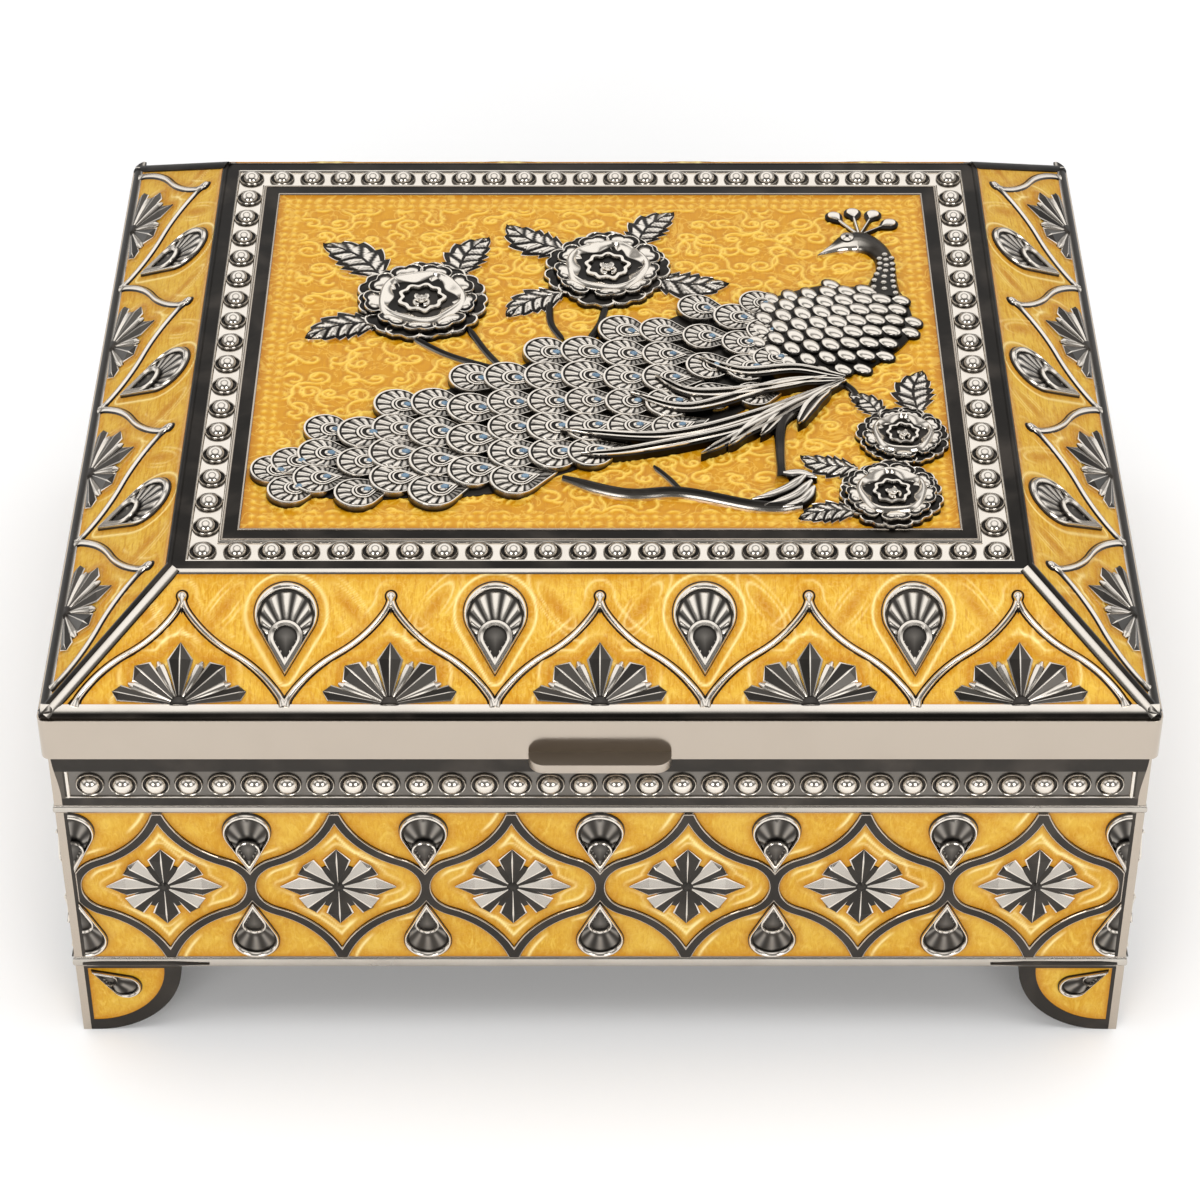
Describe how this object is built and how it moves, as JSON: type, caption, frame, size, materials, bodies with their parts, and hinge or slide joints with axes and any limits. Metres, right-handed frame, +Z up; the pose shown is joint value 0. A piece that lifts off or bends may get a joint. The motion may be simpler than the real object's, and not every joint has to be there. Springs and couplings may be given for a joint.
{
  "type": "keepsake box",
  "caption": "Rectangular metal keepsake box on bracket feet with a hinged, hipped lid, enamel fields, beaded borders and raised ornament; holds small things.",
  "frame": {"origin": "middle of the box in plan, on the floor under its feet", "axes": "+X to the box's right as seen from the front, +Y to the hinges at the rear, +Z up"},
  "size_m": [0.1804, 0.1661, 0.0885],
  "materials": {
    "polished_metal": "polished plated cast metal, warm silver",
    "dark_metal": "glossy blackened metal with bright edges",
    "enamel": "glossy golden yellow enamel with paler streaks",
    "velvet": "short velvet pile",
    "steel": "plain steel"
  },
  "bodies": {
    "box": {"front_wall": "polished_metal", "front_bead_strip": "polished_metal", "front_enamel": "enamel", "front_lattice": "dark_metal", "front_lining": "velvet", "rear_wall": "polished_metal", "rear_bead_strip": "polished_metal", "rear_enamel": "enamel", "rear_lattice": "dark_metal", "rear_lining": "velvet", "left_wall": "polished_metal", "left_bead_strip": "polished_metal", "left_enamel": "enamel", "left_lattice": "dark_metal", "left_lining": "velvet", "right_wall": "polished_metal", "right_bead_strip": "polished_metal", "right_enamel": "enamel", "right_lattice": "dark_metal", "right_lining": "velvet", "wall_rosettes": "dark_metal", "wall_drops": "dark_metal", "foot_enamel": "enamel", "foot_leaves": "dark_metal", "bottom_plate": "dark_metal", "corner_gussets": "polished_metal", "bottom_screws": "steel", "bottom_pad": "velvet", "left_body_knuckle": "polished_metal", "right_body_knuckle": "polished_metal", "left_hinge_pin": "steel", "right_hinge_pin": "steel"},
    "lid": {"lid_shell": "polished_metal", "lid_bead_frame": "polished_metal", "panel_enamel": "enamel", "lid_lining": "velvet", "thumb_tab": "polished_metal", "front_slope_enamel": "enamel", "front_slope_frame": "polished_metal", "rear_slope_enamel": "enamel", "rear_slope_frame": "polished_metal", "left_slope_enamel": "enamel", "left_slope_frame": "polished_metal", "right_slope_enamel": "enamel", "right_slope_frame": "polished_metal", "slope_palmettes": "dark_metal", "slope_teardrops": "dark_metal", "bird_body": "dark_metal", "bird_leg": "dark_metal", "bird_train": "dark_metal", "bird_quills": "dark_metal", "blossoms": "dark_metal", "leaves_and_branch": "dark_metal", "left_lid_knuckle": "polished_metal", "right_lid_knuckle": "polished_metal"}
  },
  "joints": [
    {"name": "lid_hinge", "type": "hinge", "parent": "box", "child": "lid", "pos_m": [0, 0.08145, 0.064], "axis": [-1, 0, 0], "range_deg": [0, 100]}
  ]
}
